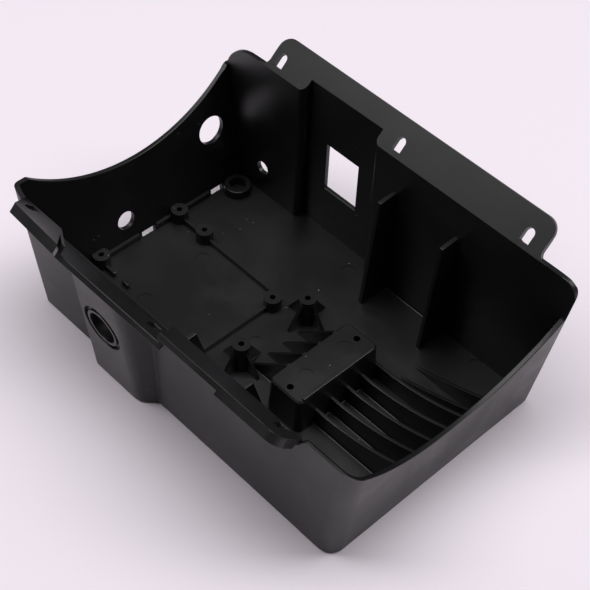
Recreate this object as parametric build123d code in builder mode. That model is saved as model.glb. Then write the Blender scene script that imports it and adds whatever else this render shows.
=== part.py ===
"""Open-topped moulded housing with two inclined mounting flanges and saddle-shaped end walls.

Millimetres, +Z up. The origin is the middle of the underside. The front wall (-Y) carries
the cable-gland pad, the back wall (+Y) the switch bay, the left wall (-X) the cable holes.
"""
import os
from math import cos, radians, sin, sqrt, tan

from build123d import *

# Box of the walls
base_length = 206.5
base_width = 134.5
wall = 2.5
floor_top = 4.0
end_draft = 8.5
front_draft = 2.5
shell_spare = 15.0
foot_chamfer = 0.8
left_corner_round = 4.0
right_corner_round = 8.0
back_corner_round = 3.0
clear = 150.0

# Saddle rims of the end walls; an inset is from the foot of the front wall to a rim's front end
left_dip = 52.0
left_rim_inset = 5.3
right_dip = 43.5
right_rim_inset = -2.0
front_corner_rise = 4.5
shoulder_round = 3.0
back_left_top_round = 20.0
back_right_top_round = 8.0

# Flanges; an inset is from the foot of the nearest end wall
flange_tilt = 44.0
flange_width = 19.0
flange_thickness = 3.0
flange_corner_round = 7.0
flange_root_round = 4.0
flange_root_run = 5.0
flange_root_step = 0.5
back_bend_height = 91.0
back_flange_left_inset = 19.25
back_flange_right_inset = 11.25
front_bend_height = 69.0
front_flange_left_inset = 6.25
front_flange_right_inset = 20.25
front_left_end_round = 2.0
front_notch_left_inset = -3.75
front_notch_slope = 4.0
ear_start = 4.0
left_ear_end_width = 17.0
left_ear_width = 21.5
left_ear_thickness = 5.0
right_ear_thickness = 5.0
right_ear_inner = 46.0

# Lowered middle of the front flange, over the gland pad
valley_depth = 4.5
valley_width = 16.0
valley_left = -79.0
valley_right = 0.0
valley_left_edge = -60.0
valley_right_edge = 8.0

# Screw slots of the flanges; an inset is from the flange's end, a reach is up its slope
slot_width = 5.2
slot_length = 7.4
slot_reach = 6.5
back_left_slot_inset = 6.0
back_middle_slot_x = 3.0
back_right_slot_inset = 10.0
front_left_slot_inset = 1.5
front_middle_slot_x = -6.0
front_middle_slot_reach = 4.2
front_right_slot_inset = 9.5

# Gland pad on the front wall
pad_left = -53.0
pad_right = -20.0
pad_right_foot = -13.0
pad_depth = 6.8
pad_tilt = 7.0
pad_side_round = 8.0
pad_edge_round = 1.5
gland_x = -37.5
gland_height = 43.5
gland_recess_diameter = 25.0
gland_recess_depth = 1.6
gland_collar_diameter = 20.6
gland_bore = 17.0

# Switch bay in the back wall
bay_left = -57.0
bay_right = -9.0
bay_depth = 5.5
bay_mouth_round = 4.0
bay_corner_round = 1.0
switch_width = 22.0
switch_height = 30.0
switch_centre_height = 47.5
back_hole_inset = 18.75
back_hole_height = 21.5
back_hole_diameter = 8.0

# Holes, notches and ledge of the left wall; the inset is from the foot of the back wall
cable_hole_inset = 18.75
cable_hole_height = 42.5
cable_hole_diameter = 16.0
small_hole_y = -12.8
small_hole_height = 19.0
small_hole_diameter = 10.5
foot_notches = ((-0.4, 8.6), (47.1, 8.2))
foot_notch_top = 6.3
ledge_height = 7.2
ledge_reach = 0.8
ledge_spans = ((-30.0, -6.6), (4.6, 15.0), (21.0, 41.5))

# Screw bosses, the low ones placed from the foot of the left wall, and the cup in the corner
boss_diameter = 9.2
boss_hole = 3.0
boss_top = 11.2
low_boss_places = ((3.75, -33.0), (5.25, 18.0), (25.25, 18.0), (83.25, 12.5))
tall_boss_top = 20.0
tall_bosses = ((-2.5, 19.5), (-2.5, -24.5))
web_thickness = 1.8
web_reach = 8.0
cup_left_inset = 9.25
cup_back_inset = 11.75
cup_diameter = 14.6
cup_bore = 9.0
cup_top = 9.0

# Floor ribs, placed from the foot of the left wall
rib_thickness = 1.6
rib_top = 7.0
rib_right_inset = 82.75
rib_front_y = -33.5
short_ribs = ((7.25, 15.25), (21.25, 26.25))

# Gussets of the long walls
gusset_thickness = 2.4
back_gussets = (7.5, 47.5)
back_gusset_top = 70.5
back_gusset_top_depth = 11.0
back_gusset_foot_depth = 17.5
front_gussets = (-19.5, 20.5)
front_gusset_top = 24.5
front_gusset_top_depth = 26.0
front_gusset_foot_depth = 32.0

# Mounting block and its webs
block_left = 24.5
block_right = 45.5
block_front = -32.0
block_back = 20.0
block_top = 25.2
block_round = 3.0
block_foot_spread = 1.0
block_top_chamfer = 0.8
block_holes = ((35.0, -28.0), (35.0, 15.6))
block_hole_diameter = 3.4
block_hole_depth = 14.0
block_lip_width = 2.0
block_lip_height = 1.0
wedge_start = 0.8
wedge_first = -19.7
wedge_pitch = 10.1
wedge_count = 4

# Fins between the block and the right wall
fin_thickness = 1.8
fin_pitch = 10.2
block_fin_count = 5
block_fin_first = -21.4
block_fin_start = 13.6
block_fin_middle = (71.0, 15.9)
block_fin_end = 27.5
floor_fin_count = 2
floor_fin_first = 28.0
floor_fin_start = 54.0
floor_fin_middle = (74.0, 10.4)
floor_fin_end = 23.0

# Ejector marks
mark_diameter = 8.0
mark_depth = 0.3
floor_marks = ((-11.5, 58.5), (-8.0, -9.5), (-66.0, -32.0), (-68.0, 8.0), (74.5, 61.0))
block_marks = ((35.0, -18.0), (35.0, 7.5))

left_foot = -base_length / 2
right_foot = base_length / 2
front_foot = -base_width / 2
back_foot = base_width / 2
end_slope = tan(radians(end_draft))
front_slope = tan(radians(front_draft))
pad_slope = tan(radians(pad_tilt))
tilt_cos = cos(radians(flange_tilt))
tilt_sin = sin(radians(flange_tilt))
back_inner = back_foot - wall
front_inner = front_foot + wall
front_bend = front_inner - front_bend_height * front_slope
switch_x = (bay_left + bay_right) / 2
left_inner = left_foot + wall
shell_top = back_bend_height + shell_spare
front_corner_height = front_bend_height + front_corner_rise
back_flange_left = left_foot + back_flange_left_inset
back_flange_right = right_foot - back_flange_right_inset
front_flange_left = left_foot + front_flange_left_inset
front_flange_right = right_foot - front_flange_right_inset
front_notch_left = left_foot + front_notch_left_inset
back_slots = (
    (back_flange_left + back_left_slot_inset, slot_reach),
    (back_middle_slot_x, slot_reach),
    (back_flange_right - back_right_slot_inset, slot_reach),
)
front_slots = (
    (front_flange_left + front_left_slot_inset, slot_reach),
    (front_middle_slot_x, front_middle_slot_reach),
    (front_flange_right - front_right_slot_inset, slot_reach),
)
low_bosses = [(left_foot + inset, y) for inset, y in low_boss_places]
rib_start = low_bosses[1]
rib_right = left_foot + rib_right_inset


def right_wall_middle(height):
    """X of the middle of the right wall at a height."""
    return right_foot - wall / 2 + height * end_slope


def front_wall_middle(height):
    """Y of the middle of the front wall at a height."""
    return front_foot + wall / 2 - height * front_slope


def rounded_outline(height, corners):
    """Closed outline at a height, with each corner rounded by its own radius, or sharp at 0."""
    with BuildSketch(Plane.XY.offset(height)) as outline:
        with BuildLine():
            Polyline([point for point, radius in corners], close=True)
        make_face()
        for point, radius in corners:
            if radius > 0:
                fillet(outline.vertices().sort_by_distance(Vector(*point))[0], radius)
    return outline.sketch


def outer_outline(height):
    """Outside of the walls at a height, with the gland pad and the switch bay."""
    left = left_foot - height * end_slope
    right = right_foot + height * end_slope
    front = front_foot - height * front_slope
    pad_front = front_foot - pad_depth - height * pad_slope
    bay_back = back_foot + bay_depth
    return rounded_outline(height, [
        ((left, front), left_corner_round),
        ((pad_left, front), pad_edge_round),
        ((pad_left, pad_front), pad_edge_round),
        ((pad_right, pad_front), pad_side_round),
        ((pad_right_foot, front), pad_edge_round),
        ((right, front), right_corner_round),
        ((right, back_foot), back_corner_round),
        ((bay_right + wall, back_foot), bay_corner_round),
        ((bay_right + wall, bay_back), bay_corner_round + wall),
        ((bay_left - wall, bay_back), bay_corner_round + wall),
        ((bay_left - wall, back_foot), bay_mouth_round - wall),
        ((left, back_foot), back_corner_round),
    ])


def cavity_outline(height):
    """Inside of the walls at a height."""
    left = left_inner - height * end_slope
    right = right_foot + height * end_slope - wall
    front = front_inner - height * front_slope
    bay_back = back_inner + bay_depth
    return rounded_outline(height, [
        ((left, front), left_corner_round - wall),
        ((right, front), right_corner_round - wall),
        ((right, back_inner), 0),
        ((bay_right, back_inner), bay_corner_round + wall),
        ((bay_right, bay_back), 0),
        ((bay_left, bay_back), 0),
        ((bay_left, back_inner), bay_mouth_round),
        ((left, back_inner), 0),
    ])


def saddle_space(dip, inset):
    """Space above the rim of an end wall, drawn looking along the housing."""
    front_end = front_foot + inset
    rise = front_corner_height - dip
    radius = (front_end**2 + rise**2) / (2 * rise)
    back_height = dip + radius - sqrt(radius**2 - back_inner**2)
    with BuildSketch(Plane.YZ) as space:
        with BuildLine():
            ThreePointArc((front_end, front_corner_height), (0, dip), (back_inner, back_height))
            Polyline(
                (back_inner, back_height),
                (back_inner, clear),
                (-clear, clear),
                (-clear, front_corner_height),
                (front_end, front_corner_height),
            )
        make_face()
        fillet(space.vertices().sort_by_distance(Vector(back_inner, back_height))[0], shoulder_round)
    return space.sketch


back_flange_plane = Plane(
    origin=(0, back_inner, back_bend_height),
    x_dir=(1, 0, 0),
    z_dir=(0, -tilt_sin, tilt_cos),
)
front_flange_plane = Plane(
    origin=(0, front_bend, front_bend_height),
    x_dir=(1, 0, 0),
    z_dir=(0, -tilt_sin, -tilt_cos),
)
gland_plane = Plane(
    origin=(gland_x, front_foot - pad_depth - gland_height * pad_slope, gland_height),
    x_dir=(1, 0, 0),
    z_dir=(0, -cos(radians(pad_tilt)), -sin(radians(pad_tilt))),
)

with BuildPart() as housing:
    # Solid body of the walls
    loft([outer_outline(0), outer_outline(shell_top)], ruled=True)
    chamfer(housing.faces().sort_by(Axis.Z)[0].edges(), foot_chamfer)

    # End walls cut down to their saddle rims
    extrude(saddle_space(left_dip, left_rim_inset), amount=-clear, mode=Mode.SUBTRACT)
    extrude(saddle_space(right_dip, right_rim_inset), amount=clear, mode=Mode.SUBTRACT)

    # Back wall cut to the slope of its flange, with rounded top corners
    with BuildSketch(Plane.YZ):
        with BuildLine():
            Polyline(
                (back_inner, back_bend_height),
                (clear, back_bend_height + (clear - back_inner) * tilt_sin / tilt_cos),
                (clear, 2 * clear),
                (back_inner, 2 * clear),
                close=True,
            )
        make_face()
    extrude(amount=clear, both=True, mode=Mode.SUBTRACT)
    top_corners = [
        ((left_foot - back_bend_height * end_slope, back_bend_height), back_left_top_round),
        ((right_foot + back_bend_height * end_slope, back_bend_height), back_right_top_round),
    ]
    with BuildSketch(Plane.XZ.offset(-back_inner)) as corner_space:
        Rectangle(2 * clear, clear, align=(Align.CENTER, Align.MIN))
        with BuildLine():
            Polyline(
                top_corners[0][0],
                top_corners[1][0],
                (right_foot, 0),
                (left_foot, 0),
                close=True,
            )
        make_face(mode=Mode.SUBTRACT)
        for corner, radius in top_corners:
            fillet(corner_space.vertices().sort_by_distance(Vector(*corner))[0], radius)
    extrude(amount=-wall, mode=Mode.SUBTRACT)

    # Front wall cut down to its flange between the two corners
    with BuildSketch(Plane.XZ.offset(-front_bend)):
        with BuildLine():
            Polyline(
                (front_notch_left - front_notch_slope, front_corner_height),
                (front_notch_left, front_bend_height),
                (front_flange_right, front_bend_height),
                (front_flange_right + front_notch_slope, front_corner_height),
                close=True,
            )
        make_face()
    extrude(amount=2 * wall, both=True, mode=Mode.SUBTRACT)

    # Front wall and gland pad cut lower still, to the lowered middle of the flange
    valley_height = front_bend_height - valley_depth / tilt_cos
    with BuildSketch(Plane.YZ.offset(valley_left)):
        with BuildLine():
            Polyline(
                (front_bend + wall, valley_height),
                (front_bend, valley_height),
                (-clear, valley_height + (clear + front_bend) * tilt_sin / tilt_cos),
                (-clear, 2 * clear),
                (front_bend + wall, 2 * clear),
                close=True,
            )
        make_face()
    extrude(amount=valley_right - valley_left, mode=Mode.SUBTRACT)

    # Back flange plate with rounded outer corners and hollow roots
    plate_corners = [
        ((back_flange_left, flange_width), flange_corner_round),
        ((back_flange_right, flange_width), flange_corner_round),
        ((back_flange_left, flange_root_step), flange_root_round),
        ((back_flange_right, flange_root_step), flange_root_round),
    ]
    with BuildSketch(back_flange_plane) as back_plate:
        with BuildLine():
            Polyline(
                (back_flange_left - flange_root_run, 0),
                (back_flange_right + flange_root_run, 0),
                (back_flange_right + flange_root_run, flange_root_step),
                (back_flange_right, flange_root_step),
                (back_flange_right, flange_width),
                (back_flange_left, flange_width),
                (back_flange_left, flange_root_step),
                (back_flange_left - flange_root_run, flange_root_step),
                close=True,
            )
        make_face()
        for corner, radius in plate_corners:
            fillet(back_plate.vertices().sort_by_distance(Vector(*corner))[0], radius)
    extrude(amount=-flange_thickness)

    # Front flange plate, thicker at its two ears
    valley_middle = (valley_left + valley_right) / 2
    for start, inner, depth in (
        (valley_middle, 0, flange_thickness),
        (right_ear_inner, ear_start, right_ear_thickness),
    ):
        with BuildSketch(front_flange_plane) as front_plate:
            with BuildLine():
                Polyline(
                    (start, inner),
                    (front_flange_right, inner),
                    (front_flange_right, flange_width),
                    (start, flange_width),
                    close=True,
                )
            make_face()
            outer_corner = Vector(front_flange_right, flange_width)
            fillet(front_plate.vertices().sort_by_distance(outer_corner)[0], flange_corner_round)
        extrude(amount=depth)
    with BuildSketch(front_flange_plane) as left_ear:
        with BuildLine():
            Polyline(
                (front_notch_left, 0),
                (valley_left, 0),
                (valley_left_edge, left_ear_width),
                (front_flange_left, left_ear_end_width),
                close=True,
            )
        make_face()
        outer_corner = Vector(front_flange_left, left_ear_end_width)
        fillet(left_ear.vertices().sort_by_distance(outer_corner)[0], front_left_end_round)
    extrude(amount=left_ear_thickness)

    # Lowered middle of the front flange between two step walls
    with BuildSketch(front_flange_plane.offset(-flange_thickness)):
        with BuildLine():
            Polyline(
                (valley_left, 0),
                (valley_right, 0),
                (valley_right_edge, valley_width),
                (valley_right_edge, 2 * flange_width),
                (valley_left_edge, 2 * flange_width),
                (valley_left_edge, valley_width),
                close=True,
            )
        make_face()
    extrude(amount=flange_thickness + valley_depth, mode=Mode.SUBTRACT)
    with BuildSketch(front_flange_plane.offset(valley_depth)):
        with BuildLine():
            Polyline(
                (valley_left - wall, 0),
                (valley_right + wall, 0),
                (valley_right_edge + wall, valley_width),
                (valley_left_edge - wall, valley_width),
                close=True,
            )
        make_face()
    extrude(amount=flange_thickness)
    with BuildSketch(front_flange_plane):
        for root, edge in ((valley_left - wall, valley_left_edge - wall), (valley_right, valley_right_edge)):
            with BuildLine():
                Polyline(
                    (root, 0),
                    (root + wall, 0),
                    (edge + wall, valley_width),
                    (edge, valley_width),
                    close=True,
                )
            make_face()
    extrude(amount=valley_depth + flange_thickness)

    # Inside of the walls
    loft([cavity_outline(floor_top), cavity_outline(shell_top)], ruled=True, mode=Mode.SUBTRACT)

    # Screw slots, flat towards the wall and round towards the edge
    for plane, places in ((back_flange_plane, back_slots), (front_flange_plane, front_slots)):
        with BuildSketch(plane):
            straight = slot_length - slot_width / 2
            for x, reach in places:
                with Locations((x, reach - slot_length / 2)):
                    Rectangle(slot_width, straight, align=(Align.CENTER, Align.MIN))
                with Locations((x, reach - slot_length / 2 + straight)):
                    Circle(slot_width / 2)
        extrude(amount=valley_depth + 2 * flange_thickness, both=True, mode=Mode.SUBTRACT)

    # Screw bosses and the cup in the corner
    with BuildSketch(Plane.XY.offset(floor_top)):
        with Locations(low_bosses):
            Circle(boss_diameter / 2)
    extrude(amount=boss_top - floor_top)
    with BuildSketch(Plane.XY.offset(floor_top)):
        with Locations(tall_bosses):
            Circle(boss_diameter / 2)
    extrude(amount=tall_boss_top - floor_top)
    with BuildSketch(Plane.XY.offset(floor_top)):
        with Locations((left_foot + cup_left_inset, back_foot - cup_back_inset)):
            Circle(cup_diameter / 2)
            Circle(cup_bore / 2, mode=Mode.SUBTRACT)
    extrude(amount=cup_top - floor_top)

    # Four webs round each tall boss
    for x, y in tall_bosses:
        for angle in (0, 90, 180, 270):
            along = (cos(radians(angle)), sin(radians(angle)), 0)
            across = (sin(radians(angle)), -cos(radians(angle)), 0)
            with BuildSketch(Plane(origin=(x, y, floor_top), x_dir=along, z_dir=across)):
                with BuildLine():
                    Polyline(
                        (boss_diameter / 4, 0),
                        (boss_diameter / 2 + web_reach, 0),
                        (boss_diameter / 4, tall_boss_top - floor_top),
                        close=True,
                    )
                make_face()
            extrude(amount=web_thickness / 2, both=True)

    # Low ribs of the floor
    with BuildSketch(Plane.XY.offset(floor_top)):
        with Locations(((rib_start[0] + rib_right) / 2, rib_start[1])):
            Rectangle(rib_right - rib_start[0], rib_thickness)
        with Locations((rib_right, (rib_start[1] + rib_front_y) / 2)):
            Rectangle(rib_thickness, rib_start[1] - rib_front_y + rib_thickness)
        for start, end in short_ribs:
            with Locations((left_foot + (start + end) / 2, rib_front_y)):
                Rectangle(end - start, rib_thickness)
    extrude(amount=rib_top - floor_top)

    # Ledge along the foot of the left wall
    for start, end in ledge_spans:
        with BuildSketch(Plane.XZ.offset(-start)):
            with BuildLine():
                Polyline(
                    (left_inner + ledge_reach, floor_top),
                    (left_inner + ledge_reach, ledge_height),
                    (left_inner - ledge_height * end_slope - wall / 2, ledge_height),
                    (left_inner - wall / 2, floor_top),
                    close=True,
                )
            make_face()
        extrude(amount=start - end)

    # Gussets of the back and front walls
    for x in back_gussets:
        with BuildSketch(Plane.YZ.offset(x)):
            with BuildLine():
                Polyline(
                    (back_inner + wall / 2, floor_top),
                    (back_inner - back_gusset_foot_depth, floor_top),
                    (back_inner - back_gusset_top_depth, back_gusset_top),
                    (back_inner + wall / 2, back_gusset_top),
                    close=True,
                )
            make_face()
        extrude(amount=gusset_thickness / 2, both=True)
    for x in front_gussets:
        with BuildSketch(Plane.YZ.offset(x)):
            with BuildLine():
                Polyline(
                    (front_wall_middle(floor_top), floor_top),
                    (front_inner + front_gusset_foot_depth, floor_top),
                    (front_inner + front_gusset_top_depth, front_gusset_top),
                    (front_wall_middle(front_gusset_top), front_gusset_top),
                    close=True,
                )
            make_face()
        extrude(amount=gusset_thickness / 2, both=True)

    # Mounting block, wider at its foot, with a lip along its right edge
    block_middle = ((block_left + block_right) / 2, (block_front + block_back) / 2)
    for height, spread in ((floor_top, block_foot_spread), (block_top, 0)):
        with BuildSketch(Plane.XY.offset(height)):
            with Locations(block_middle):
                RectangleRounded(
                    block_right - block_left + 2 * spread,
                    block_back - block_front + 2 * spread,
                    block_round + spread,
                )
    loft(ruled=True)
    block_top_face = housing.faces().sort_by_distance(Vector(*block_middle, block_top))[0]
    chamfer(block_top_face.edges(), block_top_chamfer)
    with BuildSketch(Plane.XY.offset(block_top - block_top_chamfer)):
        with Locations((block_right - block_lip_width / 2, block_middle[1])):
            Rectangle(block_lip_width, block_back - block_front - 2 * block_round)
    extrude(amount=block_lip_height + block_top_chamfer)

    # Wedge webs on the left of the block
    for i in range(wedge_count):
        with BuildSketch(Plane.XZ.offset(-wedge_first - i * wedge_pitch)):
            with BuildLine():
                Polyline(
                    (wedge_start, floor_top),
                    (block_left + block_round, floor_top),
                    (block_left + block_round, block_top),
                    (block_left, block_top),
                    close=True,
                )
            make_face()
        extrude(amount=fin_thickness / 2, both=True)

    # Fins with hollow tops, from the block and from the floor to the right wall
    fin_rows = (
        (block_fin_count, block_fin_first, (block_right, block_fin_start), block_fin_middle, block_fin_end),
        (floor_fin_count, floor_fin_first, (floor_fin_start, floor_top), floor_fin_middle, floor_fin_end),
    )
    for count, first, start, middle, end_height in fin_rows:
        end = (right_wall_middle(end_height), end_height)
        for i in range(count):
            with BuildSketch(Plane.XZ.offset(-first - i * fin_pitch)):
                with BuildLine():
                    ThreePointArc(start, middle, end)
                    Polyline(
                        end,
                        (right_wall_middle(floor_top / 2), floor_top / 2),
                        (start[0] - block_round, floor_top / 2),
                        (start[0] - block_round, start[1]),
                        start,
                    )
                make_face()
            extrude(amount=fin_thickness / 2, both=True)

    # Screw holes of the bosses and the block
    with BuildSketch(Plane.XY.offset(floor_top)):
        with Locations(low_bosses + list(tall_bosses)):
            Circle(boss_hole / 2)
    extrude(amount=tall_boss_top, mode=Mode.SUBTRACT)
    with BuildSketch(Plane.XY.offset(block_top)):
        with Locations(block_holes):
            Circle(block_hole_diameter / 2)
    extrude(amount=-block_hole_depth, mode=Mode.SUBTRACT)

    # Ejector marks
    with BuildSketch(Plane.XY.offset(floor_top - mark_depth)):
        with Locations(floor_marks):
            Circle(mark_diameter / 2)
    extrude(amount=mark_depth, mode=Mode.SUBTRACT)
    with BuildSketch(Plane.XY.offset(block_top - mark_depth)):
        with Locations(block_marks):
            Circle(mark_diameter / 2)
    extrude(amount=mark_depth, mode=Mode.SUBTRACT)

    # Switch cut-out and round hole of the back wall
    with BuildSketch(Plane.XZ.offset(-back_inner + wall)):
        with Locations((switch_x, switch_centre_height)):
            Rectangle(switch_width, switch_height)
        with Locations((left_foot + back_hole_inset, back_hole_height)):
            Circle(back_hole_diameter / 2)
    extrude(amount=-bay_depth - 4 * wall, mode=Mode.SUBTRACT)

    # Cable holes of the left wall, and notches through its foot
    with BuildSketch(Plane.YZ.offset(left_inner + wall)):
        with Locations((back_foot - cable_hole_inset, cable_hole_height)):
            Circle(cable_hole_diameter / 2)
        with Locations((small_hole_y, small_hole_height)):
            Circle(small_hole_diameter / 2)
    extrude(amount=-8 * wall, mode=Mode.SUBTRACT)
    with BuildSketch(Plane.YZ.offset(left_inner)):
        for y, length in foot_notches:
            with Locations((y, 0)):
                Rectangle(length, foot_notch_top, align=(Align.CENTER, Align.MIN))
    extrude(amount=-2 * wall, mode=Mode.SUBTRACT)

    # Gland recess round its collar, and the bore through both
    with BuildSketch(gland_plane):
        Circle(gland_recess_diameter / 2)
        Circle(gland_collar_diameter / 2, mode=Mode.SUBTRACT)
    extrude(amount=-gland_recess_depth, mode=Mode.SUBTRACT)
    with BuildSketch(gland_plane):
        Circle(gland_bore / 2)
    extrude(amount=-4 * pad_depth, mode=Mode.SUBTRACT)

housing.part.label = "housing"
os.makedirs("parts", exist_ok=True)
export_step(housing.part, "parts/housing.step")
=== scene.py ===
"""Dress a moulded plastic housing and set it in a plain studio.

The file is laid out as an add-on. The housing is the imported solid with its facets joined, its
edges eased and a black satin finish; the stage is a pale floor, a soft lamp and a camera that
looks down into it.
"""

from math import cos, radians, sin

import bmesh
import bpy
from bpy.props import FloatProperty, FloatVectorProperty, IntProperty, PointerProperty
from bpy.types import Operator, Panel, PropertyGroup
from mathutils import Matrix, Vector


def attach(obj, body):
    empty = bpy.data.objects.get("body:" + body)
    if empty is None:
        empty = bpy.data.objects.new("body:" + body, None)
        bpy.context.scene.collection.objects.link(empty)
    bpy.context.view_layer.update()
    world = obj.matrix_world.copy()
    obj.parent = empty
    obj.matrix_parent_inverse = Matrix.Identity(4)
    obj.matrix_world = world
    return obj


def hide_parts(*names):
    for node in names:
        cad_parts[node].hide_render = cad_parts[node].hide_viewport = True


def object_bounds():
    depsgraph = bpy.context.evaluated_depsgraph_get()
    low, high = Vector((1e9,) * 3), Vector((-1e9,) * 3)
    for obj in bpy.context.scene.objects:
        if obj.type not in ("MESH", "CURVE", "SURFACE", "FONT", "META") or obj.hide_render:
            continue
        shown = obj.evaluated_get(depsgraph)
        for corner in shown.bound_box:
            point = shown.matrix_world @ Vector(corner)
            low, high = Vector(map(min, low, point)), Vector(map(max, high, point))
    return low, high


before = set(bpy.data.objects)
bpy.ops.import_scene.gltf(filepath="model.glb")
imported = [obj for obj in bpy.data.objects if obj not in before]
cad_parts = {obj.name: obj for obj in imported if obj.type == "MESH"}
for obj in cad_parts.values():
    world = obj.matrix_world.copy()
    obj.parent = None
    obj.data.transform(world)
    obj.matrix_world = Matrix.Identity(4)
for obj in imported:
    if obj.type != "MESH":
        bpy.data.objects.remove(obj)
cad_low, cad_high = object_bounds()

bl_info = {
    "name": "Moulded Housing",
    "version": (1, 0, 0),
    "blender": (4, 5, 0),
    "location": "View3D > Sidebar > Housing",
    "description": "Finish of a black moulded housing and its studio",
    "category": "Object",
}

# Where the back end of the left rim stands above the rounded corner beside it: the two edges of
# the rim across the housing, its last stretch along it, and the height at which it is levelled.
TIP_ACROSS = ((-0.1149, -0.1143), (-0.11235, -0.11193))
TIP_ALONG = (0.0636, 0.0648)
TIP_HEIGHTS = (0.0749, 0.0774)

# Inner edge of the lowered front flange, along the housing and up, and the way from there into
# the wall: the solid leaves a narrow slit between the two on both sides of the gland pad.
ROOT_EDGE = (-0.07089, 0.06576)
ROOT_RUN = (0.001326, -0.001362)
ROOT_MIDDLE = -0.0395
ROOT_SIDESTEP = 5e-5
ROOT_MATCH = 2e-5

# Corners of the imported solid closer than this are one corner.
WELD_DISTANCE = 1e-6

# Clouding of the plastic: how dense its patches and streaks are, how much the streaks count, and
# between which values the rubbed colour and the dull gloss come in.
PATCH_DENSITY = 22.0
STREAK_DENSITY = (14.0, 14.0, 260.0)
STREAK_SHARE = 0.15
RUBBED_RANGE = (0.45, 0.75)
RUBBED_MOST = 0.8
DULL_RANGE = (0.35, 0.65)

# Share of the places that hold a dust speck, and roughness of the specks.
SPECK_SHARE = 0.4
SPECK_ROUGHNESS = 0.9

PLASTIC_IOR = 1.45
PAPER_ROUGHNESS = 0.9
PAPER_SPECULAR = 0.1


class HousingFinish(PropertyGroup):
    """Sizes and colours of the housing's moulded surface."""

    edge_width: FloatProperty(
        name="Edge Width", description="Width of the eased edge that the mould leaves",
        default=0.00035, unit="LENGTH", precision=5)
    edge_steps: IntProperty(
        name="Edge Steps", description="Number of facets across an eased edge", default=2)
    edge_angle: FloatProperty(
        name="Edge Angle", description="Edges that turn by more than this are eased",
        default=radians(32), subtype="ANGLE")
    edge_room: FloatProperty(
        name="Edge Room", description="Shortest neighbour of an edge that has room to be eased",
        default=0.0009, unit="LENGTH", precision=5)
    root_width: FloatProperty(
        name="Root Width", description="Width of the eased inner corner where two walls meet",
        default=0.0008, unit="LENGTH", precision=5)
    root_room: FloatProperty(
        name="Root Room", description="Shortest neighbour of an inner corner that has room to be eased",
        default=0.0018, unit="LENGTH", precision=5)
    crease_angle: FloatProperty(
        name="Crease Angle", description="Edges left uneased stay crisp if they turn by more than this",
        default=radians(20), subtype="ANGLE")
    blend_angle: FloatProperty(
        name="Blend Angle",
        description="Faces round a corner shade together if they turn by less than this",
        default=radians(50), subtype="ANGLE")
    flat_angle: FloatProperty(
        name="Flat Angle", description="Facets that turn by less than this are one flat face",
        default=radians(0.2), subtype="ANGLE")
    plastic: FloatVectorProperty(
        name="Plastic", description="Colour of the black plastic",
        default=(0.0058, 0.0057, 0.0062), subtype="COLOR", size=3)
    worn_plastic: FloatVectorProperty(
        name="Rubbed Plastic", description="Colour of the plastic where it is rubbed and cloudy",
        default=(0.0095, 0.0093, 0.01), subtype="COLOR", size=3)
    dust: FloatVectorProperty(
        name="Dust", description="Colour of the dust specks",
        default=(0.42, 0.40, 0.41), subtype="COLOR", size=3)
    gloss_low: FloatProperty(
        name="Smooth Roughness", description="Roughness of the smoothest patches",
        default=0.31, subtype="FACTOR")
    gloss_high: FloatProperty(
        name="Dull Roughness", description="Roughness of the dullest patches",
        default=0.42, subtype="FACTOR")
    grain_size: FloatProperty(
        name="Grain Size", description="Size of the mould's spark-eroded grain",
        default=0.00045, unit="LENGTH", precision=5)
    grain_depth: FloatProperty(
        name="Grain Depth", description="Depth of the mould's grain",
        default=0.000012, unit="LENGTH", precision=6)
    speck_spacing: FloatProperty(
        name="Speck Spacing", description="Distance between places where a dust speck may lie",
        default=0.0042, unit="LENGTH", precision=4)
    speck_size: FloatProperty(
        name="Speck Size", description="Radius of the largest dust specks",
        default=0.00025, unit="LENGTH", precision=5)


class HousingStage(PropertyGroup):
    """Floor, light and camera of the studio."""

    floor_colour: FloatVectorProperty(
        name="Floor", description="Colour of the pale floor",
        default=(0.86, 0.79, 0.86), subtype="COLOR", size=3)
    floor_reach: FloatProperty(
        name="Floor Reach", description="Half the side of the square floor",
        default=4.0, unit="LENGTH")
    sky_colour: FloatVectorProperty(
        name="Surround", description="Colour of the light that comes from all round",
        default=(1.0, 0.985, 1.0), subtype="COLOR", size=3)
    sky_strength: FloatProperty(
        name="Surround Strength", description="Strength of the light from all round", default=0.12)
    lamp_length: FloatProperty(
        name="Lamp Length", description="Longer side of the lamp over the housing",
        default=4.0, unit="LENGTH")
    lamp_breadth: FloatProperty(
        name="Lamp Breadth", description="Shorter side of the lamp over the housing",
        default=0.8, unit="LENGTH")
    lamp_turn: FloatProperty(
        name="Lamp Turn", description="Turn of the lamp about the vertical",
        default=radians(45), subtype="ANGLE")
    lamp_power: FloatProperty(
        name="Lamp Power", description="Power of the lamp", default=41.0, unit="POWER")
    lamp_place: FloatVectorProperty(
        name="Lamp Place", description="Middle of the lamp",
        default=(0.05, 0.2, 1.5), subtype="XYZ", unit="LENGTH", size=3)
    view_target: FloatVectorProperty(
        name="View Target", description="Point in the middle of the picture",
        default=(0.01067, -0.00315, 0.05), subtype="XYZ", unit="LENGTH", size=3)
    view_distance: FloatProperty(
        name="View Distance", description="From the camera to the view target",
        default=0.68482, unit="LENGTH")
    view_turn: FloatProperty(
        name="View Turn", description="Turn of the camera about the vertical",
        default=radians(44.236), subtype="ANGLE")
    view_height: FloatProperty(
        name="View Height", description="Angle of the camera above the horizon",
        default=radians(48.135), subtype="ANGLE")
    view_roll: FloatProperty(
        name="View Roll", description="Roll of the camera about its line of sight",
        default=radians(3.06), subtype="ANGLE")
    view_lens: FloatProperty(
        name="Focal Length", description="Focal length of the camera",
        default=89.83, unit="CAMERA")


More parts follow.
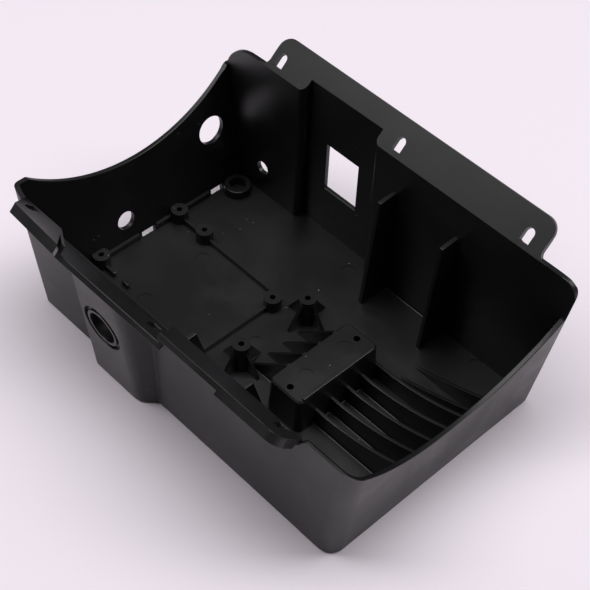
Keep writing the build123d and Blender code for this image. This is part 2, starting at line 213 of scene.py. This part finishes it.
def add_node(tree, kind, settings=None, **inputs):
    """Add a node, set its properties, and set or link its inputs by name."""
    made = tree.nodes.new(kind)
    for name, value in (settings or {}).items():
        setattr(made, name, value)
    for name, value in inputs.items():
        socket = made.inputs[name.replace("_", " ")]
        if isinstance(value, bpy.types.NodeSocket):
            tree.links.new(value, socket)
        else:
            socket.default_value = value
    return made


def maths(tree, operation, first, second=0.5, clamp=False):
    """Add a Math node for one operation and return its result."""
    made = tree.nodes.new("ShaderNodeMath")
    made.operation = operation
    made.use_clamp = clamp
    for socket, value in zip(made.inputs, (first, second)):
        if isinstance(value, bpy.types.NodeSocket):
            tree.links.new(value, socket)
        else:
            socket.default_value = value
    return made.outputs[0]


def remap(tree, value, from_low, from_high, to_low, to_high):
    """Map a value from one range smoothly to another and return the result."""
    made = add_node(tree, "ShaderNodeMapRange", {"interpolation_type": "SMOOTHSTEP"}, Value=value)
    for name, limit in (("From Min", from_low), ("From Max", from_high),
                        ("To Min", to_low), ("To Max", to_high)):
        if isinstance(limit, bpy.types.NodeSocket):
            tree.links.new(limit, made.inputs[name])
        else:
            made.inputs[name].default_value = limit
    return made.outputs["Result"]


def mixed_colour(tree, share, first, second):
    """Mix two colours by a share and return the result."""
    made = tree.nodes.new("ShaderNodeMix")
    made.data_type = "RGBA"
    tree.links.new(share, made.inputs["Factor"])
    for name, value in (("A", first), ("B", second)):
        socket = next(s for s in made.inputs if s.name == name and s.type == "RGBA")
        if isinstance(value, bpy.types.NodeSocket):
            tree.links.new(value, socket)
        else:
            socket.default_value = (*value, 1)
    return next(s for s in made.outputs if s.type == "RGBA")


def new_group(name, sockets):
    """Start a shader node group with named float or vector sockets."""
    group = bpy.data.node_groups.new(name, "ShaderNodeTree")
    for label, direction, kind in sockets:
        group.interface.new_socket(name=label, in_out=direction, socket_type=kind)
    return group, group.nodes.new("NodeGroupInput"), group.nodes.new("NodeGroupOutput")


def make_dust_group():
    """Specks of dust: a mask that is 1 on small scattered dots of uneven size."""
    group, given, result = new_group("Dust Specks", (
        ("Place", "INPUT", "NodeSocketVector"),
        ("Spacing", "INPUT", "NodeSocketFloat"),
        ("Radius", "INPUT", "NodeSocketFloat"),
        ("Share", "INPUT", "NodeSocketFloat"),
        ("Mask", "OUTPUT", "NodeSocketFloat"),
    ))
    density = maths(group, "DIVIDE", 1.0, given.outputs["Spacing"])
    cells = add_node(group, "ShaderNodeTexVoronoi", Vector=given.outputs["Place"], Scale=density)
    spread = add_node(group, "ShaderNodeSeparateColor", Color=cells.outputs["Color"])
    kept = maths(group, "LESS_THAN", spread.outputs["Red"], given.outputs["Share"])
    size = maths(group, "MULTIPLY", spread.outputs["Green"], given.outputs["Radius"])
    reach = maths(group, "MULTIPLY", cells.outputs["Distance"], given.outputs["Spacing"])
    dot = maths(group, "LESS_THAN", reach, size)
    group.links.new(maths(group, "MULTIPLY", dot, kept), result.inputs["Mask"])
    return group


def make_grain_group():
    """Grain of a spark-eroded mould: a fine uneven height."""
    group, given, result = new_group("Mould Grain", (
        ("Place", "INPUT", "NodeSocketVector"),
        ("Size", "INPUT", "NodeSocketFloat"),
        ("Height", "OUTPUT", "NodeSocketFloat"),
    ))
    density = maths(group, "DIVIDE", 1.0, given.outputs["Size"])
    grain = add_node(group, "ShaderNodeTexNoise", Vector=given.outputs["Place"], Scale=density,
                     Detail=2.0, Roughness=0.6)
    group.links.new(grain.outputs["Fac"], result.inputs["Height"])
    return group


def make_cloud_group():
    """Clouding of a moulded skin: broad soft patches with faint drawn-out streaks."""
    group, given, result = new_group("Mould Clouding", (
        ("Place", "INPUT", "NodeSocketVector"),
        ("Patches", "OUTPUT", "NodeSocketFloat"),
        ("Streaks", "OUTPUT", "NodeSocketFloat"),
    ))
    patches = add_node(group, "ShaderNodeTexNoise", Vector=given.outputs["Place"], Scale=PATCH_DENSITY,
                       Detail=4.0, Roughness=0.55, Distortion=0.6)
    drawn = add_node(group, "ShaderNodeMapping", Vector=given.outputs["Place"], Scale=STREAK_DENSITY)
    streaks = add_node(group, "ShaderNodeTexNoise", Vector=drawn.outputs["Vector"], Scale=1.0,
                       Detail=3.0, Roughness=0.6)
    group.links.new(patches.outputs["Fac"], result.inputs["Patches"])
    group.links.new(streaks.outputs["Fac"], result.inputs["Streaks"])
    return group


def place_group(tree, group, **inputs):
    """Place a node group in a material and set or link its inputs."""
    return add_node(tree, "ShaderNodeGroup", {"node_tree": group}, **inputs)


def new_material(name):
    """Start a material and return it with its tree and its Principled shader."""
    made = bpy.data.materials.new(name)
    made.use_nodes = True
    return made, made.node_tree, made.node_tree.nodes["Principled BSDF"]


def make_plastic(sizes):
    """Black satin plastic as it comes out of the mould, clouded, grained and a little dusty."""
    made, tree, shader = new_material("black_satin_plastic")
    place = add_node(tree, "ShaderNodeTexCoord").outputs["Object"]
    clouding = place_group(tree, make_cloud_group(), Place=place)
    dust = place_group(tree, make_dust_group(), Place=place, Spacing=sizes.speck_spacing,
                       Radius=sizes.speck_size, Share=SPECK_SHARE)
    grain = place_group(tree, make_grain_group(), Place=place, Size=sizes.grain_size)
    rubbed = remap(tree, clouding.outputs["Patches"], *RUBBED_RANGE, 0.0, RUBBED_MOST)
    skin = mixed_colour(tree, rubbed, sizes.plastic, sizes.worn_plastic)
    colour = mixed_colour(tree, dust.outputs["Mask"], skin, sizes.dust)
    tree.links.new(colour, shader.inputs["Base Color"])
    patches = maths(tree, "MULTIPLY", clouding.outputs["Patches"], 1.0 - STREAK_SHARE)
    streaks = maths(tree, "MULTIPLY", clouding.outputs["Streaks"], STREAK_SHARE)
    uneven = maths(tree, "ADD", patches, streaks)
    gloss = remap(tree, uneven, *DULL_RANGE, sizes.gloss_low, sizes.gloss_high)
    specks = maths(tree, "MULTIPLY", dust.outputs["Mask"], SPECK_ROUGHNESS)
    tree.links.new(maths(tree, "MAXIMUM", gloss, specks), shader.inputs["Roughness"])
    bump = add_node(tree, "ShaderNodeBump", Height=grain.outputs["Height"], Strength=1.0,
                    Distance=sizes.grain_depth)
    tree.links.new(bump.outputs["Normal"], shader.inputs["Normal"])
    shader.inputs["IOR"].default_value = PLASTIC_IOR
    return made


def make_floor_paper(sizes):
    """Pale matt paper of the studio floor."""
    made, tree, shader = new_material("pale_floor_paper")
    shader.inputs["Base Color"].default_value = (*sizes.floor_colour, 1)
    shader.inputs["Roughness"].default_value = PAPER_ROUGHNESS
    shader.inputs["Specular IOR Level"].default_value = PAPER_SPECULAR
    return made


def has_room(edge, angle, room):
    """Whether an edge turns sharply and nothing beside it is too small to be eased with it."""
    if len(edge.link_faces) != 2 or edge.calc_face_angle() < angle:
        return False
    return all(
        beside.calc_length() > room for corner in edge.verts for beside in corner.link_edges)


def ease_edges(shape, convex, width, room, sizes):
    """Round the outer edges or the inner corners of a shape that have room, and tag the new faces."""
    sharp = [
        edge for edge in shape.edges
        if edge.is_convex == convex and has_room(edge, sizes.edge_angle, room)]
    eased = bmesh.ops.bevel(
        shape, geom=sharp, offset=width, offset_type="OFFSET", segments=sizes.edge_steps,
        profile=0.5, affect="EDGES", clamp_overlap=False, loop_slide=True, miter_outer="ARC")
    for face in eased["faces"]:
        face.tag = True


def patch_areas(shape, flat_angle):
    """Area of the flat patch that each face of a shape belongs to."""
    areas = {}
    for first in shape.faces:
        if first in areas:
            continue
        patch = {first}
        queue = [first]
        while queue:
            for edge in queue.pop().edges:
                for other in edge.link_faces:
                    if other not in patch and other.normal.angle(first.normal, 0) < flat_angle:
                        patch.add(other)
                        queue.append(other)
        area = sum(face.calc_area() for face in patch)
        areas.update((face, area) for face in patch)
    return areas


def corner_normal(face, corner, areas, blend_angle):
    """Shading normal of a face at one of its corners, led by the widest flat patches round it."""
    fan = {face}
    queue = [face]
    while queue:
        for edge in queue.pop().edges:
            if edge.smooth and corner in edge.verts:
                for other in edge.link_faces:
                    if other not in fan and other.normal.angle(face.normal, 0) < blend_angle:
                        fan.add(other)
                        queue.append(other)
    total = Vector((0, 0, 0))
    for other in fan:
        total += other.normal * areas[other]
    return total.normalized()


def level_tip(shape):
    """Level the thin tip at the back end of the left rim."""
    for corner in shape.verts:
        across, along, height = corner.co
        on_edge = any(low < across < high for low, high in TIP_ACROSS)
        if on_edge and TIP_ALONG[0] < along < TIP_ALONG[1] and TIP_HEIGHTS[0] < height < TIP_HEIGHTS[1]:
            corner.co.z = TIP_HEIGHTS[0]


def close_root(shape):
    """Run the inner edge of the lowered front flange into the wall, just under the wall's top."""
    for corner in shape.verts:
        across, along, height = corner.co
        if abs(along - ROOT_EDGE[0]) < ROOT_MATCH and abs(height - ROOT_EDGE[1]) < ROOT_MATCH:
            inward = ROOT_SIDESTEP if across < ROOT_MIDDLE else -ROOT_SIDESTEP
            corner.co += Vector((inward, *ROOT_RUN))


def moulded_mesh(source, sizes):
    """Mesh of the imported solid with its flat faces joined, its edges eased and its creases kept."""
    shape = bmesh.new()
    shape.from_mesh(source)
    bmesh.ops.remove_doubles(shape, verts=shape.verts, dist=WELD_DISTANCE)
    level_tip(shape)
    close_root(shape)
    bmesh.ops.dissolve_limit(
        shape, angle_limit=sizes.flat_angle, verts=shape.verts, edges=shape.edges)
    for face in shape.faces:
        face.tag = False
    ease_edges(shape, True, sizes.edge_width, sizes.edge_room, sizes)
    ease_edges(shape, False, sizes.root_width, sizes.root_room, sizes)
    for face in shape.faces:
        face.smooth = True
    for edge in shape.edges:
        if len(edge.link_faces) == 2 and not any(face.tag for face in edge.link_faces):
            edge.smooth = edge.calc_face_angle() < sizes.crease_angle
    areas = patch_areas(shape, sizes.flat_angle)
    normals = [
        corner_normal(face, corner, areas, sizes.blend_angle)
        for face in shape.faces for corner in face.verts]
    mesh = bpy.data.meshes.new("moulded_housing")
    shape.to_mesh(mesh)
    shape.free()
    mesh.normals_split_custom_set(normals)
    return mesh


class HOUSING_OT_dress(Operator):
    """Make the housing with eased edges and its black satin finish"""

    bl_idname = "housing.dress"
    bl_label = "Dress Housing"
    bl_options = {"UNDO"}

    def execute(self, context):
        sizes = context.scene.housing_finish
        mesh = moulded_mesh(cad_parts["housing"].data, sizes)
        mesh.materials.append(make_plastic(sizes))
        piece = bpy.data.objects.new("moulded_housing", mesh)
        context.scene.collection.objects.link(piece)
        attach(piece, "root")
        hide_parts("housing")
        return {"FINISHED"}


def add_floor(sizes):
    """Large flat floor under the housing."""
    reach = sizes.floor_reach
    mesh = bpy.data.meshes.new("studio_floor")
    mesh.from_pydata(
        [(-reach, -reach, 0), (reach, -reach, 0), (reach, reach, 0), (-reach, reach, 0)],
        [], [(0, 1, 2, 3)])
    floor = bpy.data.objects.new("studio_floor", mesh)
    bpy.context.scene.collection.objects.link(floor)
    mesh.materials.append(make_floor_paper(sizes))
    floor.location.z = cad_low.z


def add_lamp(sizes):
    """Long soft lamp that faces straight down."""
    data = bpy.data.lights.new("studio_lamp", "AREA")
    data.shape = "RECTANGLE"
    data.size = sizes.lamp_length
    data.size_y = sizes.lamp_breadth
    data.energy = sizes.lamp_power
    lamp = bpy.data.objects.new("studio_lamp", data)
    lamp.location = sizes.lamp_place
    lamp.rotation_euler.z = sizes.lamp_turn
    bpy.context.scene.collection.objects.link(lamp)


def add_surround(sizes):
    """Even light from all round."""
    world = bpy.data.worlds.new("studio_surround")
    world.use_nodes = True
    light = world.node_tree.nodes["Background"]
    light.inputs["Color"].default_value = (*sizes.sky_colour, 1)
    light.inputs["Strength"].default_value = sizes.sky_strength
    bpy.context.scene.world = world


def add_camera(sizes):
    """Camera that looks down into the housing from its front right corner."""
    data = bpy.data.cameras.new("studio_camera")
    data.lens = sizes.view_lens
    data.sensor_width = 36.0
    camera = bpy.data.objects.new("studio_camera", data)
    turn, height = sizes.view_turn, sizes.view_height
    back = Vector((sin(turn) * cos(height), -cos(turn) * cos(height), sin(height)))
    facing = (-back).to_track_quat("-Z", "Y").to_matrix().to_4x4()
    place = Matrix.Translation(Vector(sizes.view_target) + back * sizes.view_distance)
    camera.matrix_world = place @ facing @ Matrix.Rotation(sizes.view_roll, 4, "Z")
    bpy.context.scene.collection.objects.link(camera)
    bpy.context.scene.camera = camera


class HOUSING_OT_stage(Operator):
    """Set up the pale floor, the soft light and the camera"""

    bl_idname = "housing.stage"
    bl_label = "Set Stage"
    bl_options = {"UNDO"}

    def execute(self, context):
        sizes = context.scene.housing_stage
        add_floor(sizes)
        add_lamp(sizes)
        add_surround(sizes)
        add_camera(sizes)
        context.scene.view_settings.view_transform = "Standard"
        return {"FINISHED"}


class HOUSING_PT_panel(Panel):
    """Sidebar panel with the housing's operators and settings"""

    bl_idname = "HOUSING_PT_panel"
    bl_label = "Moulded Housing"
    bl_space_type = "VIEW_3D"
    bl_region_type = "UI"
    bl_category = "Housing"

    def draw(self, context):
        column = self.layout.column()
        for operator, group in ((HOUSING_OT_dress, "housing_finish"), (HOUSING_OT_stage, "housing_stage")):
            column.operator(operator.bl_idname)
            settings = getattr(context.scene, group)
            for name in settings.__annotations__:
                column.prop(settings, name)


CLASSES = (HousingFinish, HousingStage, HOUSING_OT_dress, HOUSING_OT_stage, HOUSING_PT_panel)


def register():
    for made in CLASSES:
        bpy.utils.register_class(made)
    bpy.types.Scene.housing_finish = PointerProperty(type=HousingFinish)
    bpy.types.Scene.housing_stage = PointerProperty(type=HousingStage)


def unregister():
    del bpy.types.Scene.housing_stage
    del bpy.types.Scene.housing_finish
    for made in reversed(CLASSES):
        bpy.utils.unregister_class(made)


def main():
    register()
    bpy.ops.housing.dress()
    bpy.ops.housing.stage()


if __name__ == "__main__":
    main()
